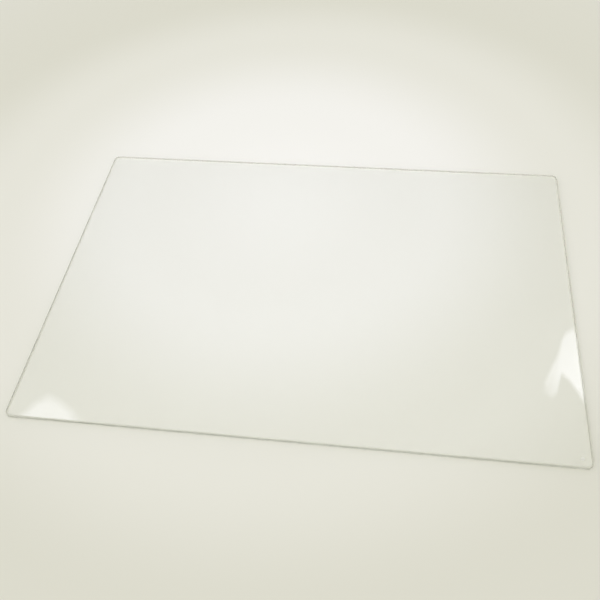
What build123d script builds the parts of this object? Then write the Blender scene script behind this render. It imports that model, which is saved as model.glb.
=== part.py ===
"""Refrigerator glass shelf: one pane of toughened float glass, with rounded corners and a ground edge.

Millimetres. The origin is the middle of the underside. +X runs along the width, +Y towards the back of the
refrigerator and +Z up.
"""

from build123d import *
import os

# Pane
WIDTH = 475.0
DEPTH = 330.0
THICKNESS = 4.0

# Edge finish: the rounding of the corners, and the leg of the 45 degree seam ground off each rim
CORNER_RADIUS = 5.0
ARRIS = 0.6


def glass_pane():
    """The cut and ground pane: a round-cornered blank with both rims of its edge seamed."""
    with BuildPart() as pane:
        with BuildSketch():
            RectangleRounded(WIDTH, DEPTH, CORNER_RADIUS)
        extrude(amount=THICKNESS)
        faces = pane.faces().filter_by(Axis.Z)
        chamfer(faces.edges(), length=ARRIS)
    return pane.part


os.makedirs("parts", exist_ok=True)
export_step(glass_pane(), "parts/glass_pane.step")
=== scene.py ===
"""Refrigerator glass shelf: the pane's ground edge and clear float glass, on a pale table in soft light.

Metres, in the part's own frame. The origin is the middle of the pane's underside. +X runs along the
width, +Y towards the back of the refrigerator and +Z up.
"""

import math

import bpy
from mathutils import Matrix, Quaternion, Vector


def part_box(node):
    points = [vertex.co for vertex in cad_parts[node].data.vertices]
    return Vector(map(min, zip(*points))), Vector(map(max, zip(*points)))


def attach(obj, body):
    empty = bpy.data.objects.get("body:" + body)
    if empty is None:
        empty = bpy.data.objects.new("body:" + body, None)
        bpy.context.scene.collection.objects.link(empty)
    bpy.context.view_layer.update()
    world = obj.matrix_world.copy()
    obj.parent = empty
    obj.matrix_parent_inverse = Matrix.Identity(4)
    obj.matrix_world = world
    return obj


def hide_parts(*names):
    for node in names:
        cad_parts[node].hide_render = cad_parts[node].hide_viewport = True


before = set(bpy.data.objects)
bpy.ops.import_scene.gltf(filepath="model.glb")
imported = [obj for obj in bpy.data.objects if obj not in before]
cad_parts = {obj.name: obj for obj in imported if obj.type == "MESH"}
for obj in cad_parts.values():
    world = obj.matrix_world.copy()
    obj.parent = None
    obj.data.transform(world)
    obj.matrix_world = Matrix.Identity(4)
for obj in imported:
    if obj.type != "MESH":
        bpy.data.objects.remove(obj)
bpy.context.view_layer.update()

# Pane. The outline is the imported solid's, the edge finish is the source's
pane_low, pane_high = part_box("glass_pane")
WIDTH, DEPTH, THICKNESS = pane_high - pane_low
CORNER_RADIUS = 0.005
SEAM = 0.0006
CORNER_STEPS = 16
WELD = 0.00005
SHARP_ANGLE = math.radians(20)

# Glass: clear faces, a slightly warmer ground edge and a faint green body
GLASS_IOR = 1.52
FACE_TINT = (0.996, 1.0, 0.994, 1.0)
EDGE_TINT = (0.970, 0.945, 0.885, 1.0)
BODY_TINT = (0.78, 0.805, 0.785, 1.0)
BODY_DENSITY = 5.2

# Ground finish: the roughness that the wheel leaves, and its fine lines, drawn out along the edge
SATIN_LEAST = 0.48
SATIN_MOST = 0.70
GRAIN_SCALE = (150.0, 150.0, 2500.0)
GRAIN_DETAIL = 3.0
GRAIN_DEPTH = 0.00002

# Etched fleck near one corner, matt in its core and gone at its reach. Its rise is in grain depths
FLECK_AT = (0.2296, -0.1580, 0.0040)
FLECK_CORE = 0.0008
FLECK_REACH = 0.0022
FLECK_RISE = 8.0

# Camera, solved from the four edges of the pane in the photograph
CAMERA_AT = Vector((0.0771, -0.4370, 0.5254))
CAMERA_AIM = Vector((-0.0066, -0.0188, 0.0))
CAMERA_ROLL = math.radians(-5.02)
CAMERA_LENS = 43.95
CAMERA_SENSOR = 36.0
CAMERA_NEAREST = 0.01

# Table, with a pool of light painted on it: its tones are by the distance from the pool's middle,
# lightest there, darkest near 0.42 m and out to the backdrop's
TABLE_DROP = 0.0001
TABLE_REACH = 14.0
TABLE_SIDES = 64
TABLE_ROUGHNESS = 0.35
# Middle of the painted pool of light on the table
PAINTED_LIGHT_POOL_MIDDLE = (-0.045, 0.112, 0.0)
BACKDROP = (0.760, 0.754, 0.708, 1.0)
PAINTED_LIGHT_POOL_TONES = {
    0.0: (0.928, 0.918, 0.895, 1.0),
    0.15: (0.888, 0.879, 0.845, 1.0),
    0.30: (0.775, 0.766, 0.692, 1.0),
    0.42: (0.690, 0.681, 0.590, 1.0),
    1.0: BACKDROP,
}

# Light. The sky's tones are by the height, from the horizon to overhead
LIGHT_BOUNCES = 200
SKY_TONES = {
    0.0: BACKDROP,
    0.45: BACKDROP,
    0.65: (0.460, 0.460, 0.460, 1.0),
    0.88: (0.750, 0.750, 0.740, 1.0),
    1.0: (0.620, 0.620, 0.615, 1.0),
}
LAMP_FROM = Vector((-0.15, -0.39, 0.90))
LAMP_ANGLE = math.radians(96)
LAMP_LEVEL = 1.30

# Light panels overhead. An outline's points are (x, y), and its core's are (x, y, share of the level)
PANEL_HEIGHT = 1.6
PANEL_TINT = (1.0, 1.0, 1.15, 1.0)
LEFT_LEVEL = 1.75
LEFT_PANEL = [
    (-1.155, 0.670), (-1.120, 0.735), (-1.080, 0.775), (-1.025, 0.755),
    (-0.960, 0.715), (-0.910, 0.665), (-0.905, 0.600), (-1.075, 0.580),
]
LEFT_CORE = [
    (-1.115, 0.680, 1.00), (-1.090, 0.715, 0.95), (-1.065, 0.730, 0.85), (-1.030, 0.720, 0.90),
    (-0.990, 0.695, 0.95), (-0.965, 0.670, 1.00), (-0.965, 0.625, 1.00), (-1.065, 0.620, 1.00),
]
RIGHT_LEVEL = 2.45
RIGHT_PANEL = [
    (0.780, 1.230), (0.715, 1.215), (0.690, 1.195), (0.670, 1.155), (0.650, 1.090), (0.620, 1.025),
    (0.595, 0.970), (0.590, 0.925), (0.620, 0.900), (0.640, 0.920), (0.650, 0.960), (0.660, 0.995),
    (0.680, 0.975), (0.700, 0.935), (0.725, 0.880), (0.785, 0.780), (0.850, 1.240),
]
RIGHT_CORE = [
    (0.770, 1.185, 0.75), (0.710, 1.180, 0.75), (0.695, 1.170, 0.75), (0.680, 1.145, 0.78),
    (0.665, 1.085, 0.82), (0.635, 1.020, 0.75), (0.610, 0.965, 0.55), (0.610, 0.940, 0.35),
    (0.620, 0.925, 0.40), (0.635, 0.940, 0.55), (0.645, 0.970, 0.75), (0.660, 1.025, 0.95),
    (0.690, 0.995, 1.05), (0.710, 0.955, 1.12), (0.735, 0.905, 1.28), (0.755, 0.870, 1.32),
    (0.785, 1.185, 0.80),
]


def place(tree, kind, inputs=None, **settings):
    """Adds a node, sets its properties, and feeds each input with a value or another node's output."""
    made = tree.nodes.new(kind)
    for name, value in settings.items():
        setattr(made, name, value)
    for name, value in (inputs or {}).items():
        if isinstance(value, bpy.types.NodeSocket):
            tree.links.new(value, made.inputs[name])
        else:
            made.inputs[name].default_value = value
    return made


def worked_out(tree, operation, *terms):
    """The output of one sum, on numbers and other nodes' outputs."""
    return place(tree, "ShaderNodeMath", dict(enumerate(terms)), operation=operation).outputs[0]


def less(tree, whole, part, times=1.0):
    """The output of whole - times * part."""
    return worked_out(tree, "SUBTRACT", whole, worked_out(tree, "MULTIPLY", part, times))


def rounded_outline(tree, width, depth, radius, steps):
    """A rectangle with its corners rounded, as a curve."""
    square = place(tree, "GeometryNodeCurvePrimitiveQuadrilateral", {"Width": width, "Height": depth})
    return place(
        tree,
        "GeometryNodeFilletCurve",
        {"Curve": square.outputs[0], "Count": steps, "Radius": radius, "Limit Radius": True},
        mode="POLY",
    ).outputs[0]


def pane_faces(tree, rim, lift):
    """The underside and the top of the pane, filled inside the rim."""
    filled = place(tree, "GeometryNodeFillCurve", {"Curve": rim}, mode="NGONS").outputs[0]
    underside = place(tree, "GeometryNodeFlipFaces", {"Mesh": filled}).outputs[0]
    top = place(tree, "GeometryNodeTransform", {"Geometry": filled, "Translation": lift}).outputs[0]
    return underside, top


def section_point(tree, out, down):
    """A point of the edge's section, measured outwards and down from the top rim."""
    return place(tree, "ShaderNodeCombineXYZ", {"X": out, "Y": down}).outputs[0]


def edge_section(tree, size):
    """The section of the ground edge from rim to rim: a seam, the flat land and the other seam."""
    closed = place(
        tree,
        "GeometryNodeCurvePrimitiveQuadrilateral",
        {
            "Point 1": section_point(tree, 0.0, 0.0),
            "Point 2": section_point(tree, size["Seam"], size["Seam"]),
            "Point 3": section_point(tree, size["Seam"], less(tree, size["Thickness"], size["Seam"])),
            "Point 4": section_point(tree, 0.0, size["Thickness"]),
        },
        mode="POINTS",
    ).outputs[0]
    return place(
        tree, "GeometryNodeSetSplineCyclic", {"Geometry": closed, "Cyclic": False}
    ).outputs[0]


def ground_edge(tree, rim, lift, section):
    """The edge's section swept round the top rim, with its faces marked as ground."""
    rail = place(tree, "GeometryNodeTransform", {"Geometry": rim, "Translation": lift}).outputs[0]
    rail = place(tree, "GeometryNodeSetCurveNormal", {"Curve": rail}, mode="Z_UP").outputs[0]
    swept = place(tree, "GeometryNodeCurveToMesh", {"Curve": rail, "Profile Curve": section}).outputs[0]
    return place(
        tree,
        "GeometryNodeStoreNamedAttribute",
        {"Geometry": swept, "Name": "ground_edge", "Value": 1.0},
        domain="FACE",
    ).outputs[0]


def creased(tree, mesh):
    """The mesh shaded smooth round the corners and sharp along the rims."""
    bend = place(tree, "GeometryNodeInputMeshEdgeAngle").outputs["Unsigned Angle"]
    sharp = place(
        tree, "FunctionNodeCompare", {"A": bend, "B": SHARP_ANGLE}, operation="GREATER_THAN"
    ).outputs[0]
    smooth = place(
        tree, "GeometryNodeSetShadeSmooth", {"Geometry": mesh, "Shade Smooth": True}
    ).outputs[0]
    return place(
        tree,
        "GeometryNodeSetShadeSmooth",
        {"Geometry": smooth, "Selection": sharp, "Shade Smooth": False},
        domain="EDGE",
    ).outputs[0]


def pane_tree():
    """Geometry Nodes: the edge's section swept round the rim, and the two faces filled inside it."""
    tree = bpy.data.node_groups.new("ground_pane", "GeometryNodeTree")
    for name, kind in (
        ("Width", "NodeSocketFloat"),
        ("Depth", "NodeSocketFloat"),
        ("Thickness", "NodeSocketFloat"),
        ("Corner Radius", "NodeSocketFloat"),
        ("Seam", "NodeSocketFloat"),
        ("Corner Steps", "NodeSocketInt"),
        ("Glass", "NodeSocketMaterial"),
    ):
        tree.interface.new_socket(name, in_out="INPUT", socket_type=kind)
    tree.interface.new_socket("Pane", in_out="OUTPUT", socket_type="NodeSocketGeometry")
    size = place(tree, "NodeGroupInput").outputs

    rim = rounded_outline(
        tree,
        less(tree, size["Width"], size["Seam"], 2.0),
        less(tree, size["Depth"], size["Seam"], 2.0),
        less(tree, size["Corner Radius"], size["Seam"]),
        size["Corner Steps"],
    )
    lift = place(tree, "ShaderNodeCombineXYZ", {"Z": size["Thickness"]}).outputs[0]
    underside, top = pane_faces(tree, rim, lift)
    edge = ground_edge(tree, rim, lift, edge_section(tree, size))

    parts = place(tree, "GeometryNodeJoinGeometry")
    for part in (edge, underside, top):
        tree.links.new(part, parts.inputs[0])
    welded = place(tree, "GeometryNodeMergeByDistance", {"Geometry": parts.outputs[0], "Distance": WELD})
    finished = creased(tree, welded.outputs[0])
    real = place(tree, "GeometryNodeRealizeInstances", {"Geometry": finished}).outputs[0]
    dressed = place(tree, "GeometryNodeSetMaterial", {"Geometry": real, "Material": size["Glass"]})
    place(tree, "NodeGroupOutput", {"Pane": dressed.outputs[0]})
    return tree


def grown(name, tree, values):
    """The plain mesh object that a Geometry Nodes tree makes from its named inputs."""
    seed = bpy.data.objects.new(name + "_seed", bpy.data.meshes.new(name + "_seed"))
    bpy.context.scene.collection.objects.link(seed)
    modifier = seed.modifiers.new(tree.name, "NODES")
    modifier.node_group = tree
    sockets = {item.name: item.identifier for item in tree.interface.items_tree}
    for label, value in values.items():
        modifier[sockets[label]] = value
    graph = bpy.context.evaluated_depsgraph_get()
    mesh = bpy.data.meshes.new_from_object(seed.evaluated_get(graph), depsgraph=graph)
    bpy.data.objects.remove(seed)
    mesh.name = name
    made = bpy.data.objects.new(name, mesh)
    bpy.context.scene.collection.objects.link(made)
    return made


def bare_material(name):
    """A new material with no nodes yet."""
    material = bpy.data.materials.new(name)
    material.use_nodes = True
    material.node_tree.nodes.clear()
    return material


def etched_fleck(tree, spot):
    """How matt the fleck is at a spot: 1 in its core, falling to 0 at its reach."""
    away = place(tree, "ShaderNodeVectorMath", {0: spot, 1: FLECK_AT}, operation="DISTANCE")
    return place(
        tree,
        "ShaderNodeMapRange",
        {
            "Value": away.outputs["Value"],
            "From Min": FLECK_CORE,
            "From Max": FLECK_REACH,
            "To Min": 1.0,
            "To Max": 0.0,
        },
    ).outputs[0]


def wheel_grain(tree, spot):
    """The fine lines that the grinding wheel leaves along its path."""
    along = place(tree, "ShaderNodeMapping", {"Vector": spot, "Scale": GRAIN_SCALE}).outputs[0]
    grain = place(tree, "ShaderNodeTexNoise", {"Vector": along, "Scale": 1.0, "Detail": GRAIN_DETAIL})
    return grain.outputs["Fac"]


def glass_material():
    """Clear float glass with a faint green body, and a satin finish on the ground edge and the fleck."""
    material = bare_material("float_glass")
    tree = material.node_tree
    ground = place(tree, "ShaderNodeAttribute", attribute_name="ground_edge").outputs["Fac"]
    spot = place(tree, "ShaderNodeTexCoord").outputs["Object"]
    fleck = etched_fleck(tree, spot)
    wheel = wheel_grain(tree, spot)
    matt = worked_out(tree, "MAXIMUM", ground, fleck)
    satin = place(
        tree, "ShaderNodeMapRange", {"Value": wheel, "To Min": SATIN_LEAST, "To Max": SATIN_MOST}
    ).outputs[0]
    height = worked_out(tree, "MULTIPLY_ADD", fleck, FLECK_RISE, wheel)
    relief = place(
        tree, "ShaderNodeBump", {"Strength": matt, "Distance": GRAIN_DEPTH, "Height": height}
    ).outputs[0]
    tint = place(
        tree, "ShaderNodeMix", {"Factor": ground, "A": FACE_TINT, "B": EDGE_TINT}, data_type="RGBA"
    ).outputs["Result"]
    glass = place(
        tree,
        "ShaderNodeBsdfPrincipled",
        {
            "Base Color": tint,
            "Roughness": worked_out(tree, "MULTIPLY", matt, satin),
            "IOR": GLASS_IOR,
            "Transmission Weight": 1.0,
            "Normal": relief,
        },
    ).outputs[0]
    body = place(
        tree, "ShaderNodeVolumeAbsorption", {"Color": BODY_TINT, "Density": BODY_DENSITY}
    ).outputs[0]
    place(tree, "ShaderNodeOutputMaterial", {"Surface": glass, "Volume": body})
    return material


def colour_ramp(tree, value, stops):
    """A smooth colour ramp over value, with a colour at each stop, as an output."""
    made = place(tree, "ShaderNodeValToRGB", {"Fac": value})
    ramp = made.color_ramp
    ramp.interpolation = "EASE"
    while len(ramp.elements) < len(stops):
        ramp.elements.new(1.0)
    for element, (position, colour) in zip(ramp.elements, stops.items()):
        element.position = position
        element.color = colour
    return made.outputs["Color"]


def table_material():
    """Pale satin table top, with a pool of light painted on it: its tone falls off from the middle."""
    material = bare_material("table_top")
    tree = material.node_tree
    spot = place(tree, "ShaderNodeTexCoord").outputs["Object"]
    away = place(tree, "ShaderNodeVectorMath", {0: spot, 1: PAINTED_LIGHT_POOL_MIDDLE}, operation="DISTANCE")
    # Painted pool of light: lighter in the middle, a painted darker ring further out, then the
    # backdrop's tone
    tone = colour_ramp(tree, away.outputs["Value"], PAINTED_LIGHT_POOL_TONES)
    top = place(
        tree, "ShaderNodeBsdfPrincipled", {"Base Color": tone, "Roughness": TABLE_ROUGHNESS}
    ).outputs[0]
    place(tree, "ShaderNodeOutputMaterial", {"Surface": top})
    return material


def stage_piece(name, points, faces, material):
    """A piece of the stage: not a part of the object."""
    mesh = bpy.data.meshes.new(name)
    mesh.from_pydata(points, [], faces)
    mesh.materials.append(material)
    made = bpy.data.objects.new(name, mesh)
    bpy.context.scene.collection.objects.link(made)
    return made


def table():
    """The round table top that the pane lies on."""
    turns = [math.tau * i / TABLE_SIDES for i in range(TABLE_SIDES)]
    rim = [(math.cos(a) * TABLE_REACH, math.sin(a) * TABLE_REACH, -TABLE_DROP) for a in turns]
    stage_piece("table_top", rim, [range(TABLE_SIDES)], table_material())


def panel_material(name, level):
    """Light in each spot's own share of the level, with the sky still seen through it."""
    material = bare_material(name)
    tree = material.node_tree
    share = place(tree, "ShaderNodeAttribute", attribute_name="glow").outputs["Fac"]
    strength = worked_out(tree, "MULTIPLY", share, level)
    shine = place(tree, "ShaderNodeEmission", {"Color": PANEL_TINT, "Strength": strength}).outputs[0]
    clear = place(tree, "ShaderNodeBsdfTransparent").outputs[0]
    both = place(tree, "ShaderNodeAddShader", {0: shine, 1: clear}).outputs[0]
    place(tree, "ShaderNodeOutputMaterial", {"Surface": both})
    return material


def light_panel(name, outline, core, level):
    """A panel overhead that fades from its core to its outline, whose reflection lies on the pane."""
    count = len(outline)
    points = [(x, y, PANEL_HEIGHT) for x, y in outline]
    points += [(x, y, PANEL_HEIGHT) for x, y, share in core]
    faces = [range(count, 2 * count)]
    for i in range(count):
        after = (i + 1) % count
        faces.append((i, after, count + after, count + i))
    made = stage_piece(name, points, faces, panel_material(name, level))
    glow = made.data.attributes.new("glow", "FLOAT", "POINT")
    glow.data.foreach_set("value", [0.0] * count + [share for x, y, share in core])
    made.visible_camera = False


def key_lamp():
    """A wide soft lamp, high in front."""
    data = bpy.data.lights.new("key_lamp", "SUN")
    data.angle = LAMP_ANGLE
    data.energy = LAMP_LEVEL
    made = bpy.data.objects.new("key_lamp", data)
    made.rotation_euler = LAMP_FROM.to_track_quat("Z", "Y").to_euler()
    made.visible_camera = False
    made.visible_glossy = False
    bpy.context.scene.collection.objects.link(made)


def studio_world():
    """Soft light from all round: a pale backdrop, a dim belt above it and a pale ring round the top."""
    world = bpy.data.worlds.new("studio")
    world.use_nodes = True
    tree = world.node_tree
    tree.nodes.clear()
    way = place(tree, "ShaderNodeTexCoord").outputs["Generated"]
    height = place(tree, "ShaderNodeSeparateXYZ", {"Vector": way}).outputs["Z"]
    tone = colour_ramp(tree, height, SKY_TONES)
    sky = place(tree, "ShaderNodeBackground", {"Color": tone}).outputs[0]
    place(tree, "ShaderNodeOutputWorld", {"Surface": sky})
    bpy.context.scene.world = world


def camera():
    """The photograph's viewpoint."""
    data = bpy.data.cameras.new("camera")
    data.lens = CAMERA_LENS
    data.sensor_width = CAMERA_SENSOR
    data.clip_start = CAMERA_NEAREST
    made = bpy.data.objects.new("camera", data)
    made.location = CAMERA_AT
    level = (CAMERA_AIM - CAMERA_AT).to_track_quat("-Z", "Y")
    made.rotation_mode = "QUATERNION"
    made.rotation_quaternion = level @ Quaternion((0.0, 0.0, 1.0), CAMERA_ROLL)
    bpy.context.scene.collection.objects.link(made)
    bpy.context.scene.camera = made


def render_settings():
    """Plain tones, sharp reflections, and bounces enough for light that runs along inside the pane."""
    scene = bpy.context.scene
    scene.view_settings.view_transform = "Standard"
    scene.cycles.blur_glossy = 0.0
    scene.cycles.max_bounces = LIGHT_BOUNCES
    scene.cycles.transmission_bounces = LIGHT_BOUNCES
    scene.cycles.glossy_bounces = LIGHT_BOUNCES


render_settings()

pane = grown(
    "pane",
    pane_tree(),
    {
        "Width": WIDTH,
        "Depth": DEPTH,
        "Thickness": THICKNESS,
        "Corner Radius": CORNER_RADIUS,
        "Seam": SEAM,
        "Corner Steps": CORNER_STEPS,
        "Glass": glass_material(),
    },
)
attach(pane, "root")
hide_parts("glass_pane")

table()
light_panel("left_panel", LEFT_PANEL, LEFT_CORE, LEFT_LEVEL)
light_panel("right_panel", RIGHT_PANEL, RIGHT_CORE, RIGHT_LEVEL)
key_lamp()
studio_world()
camera()
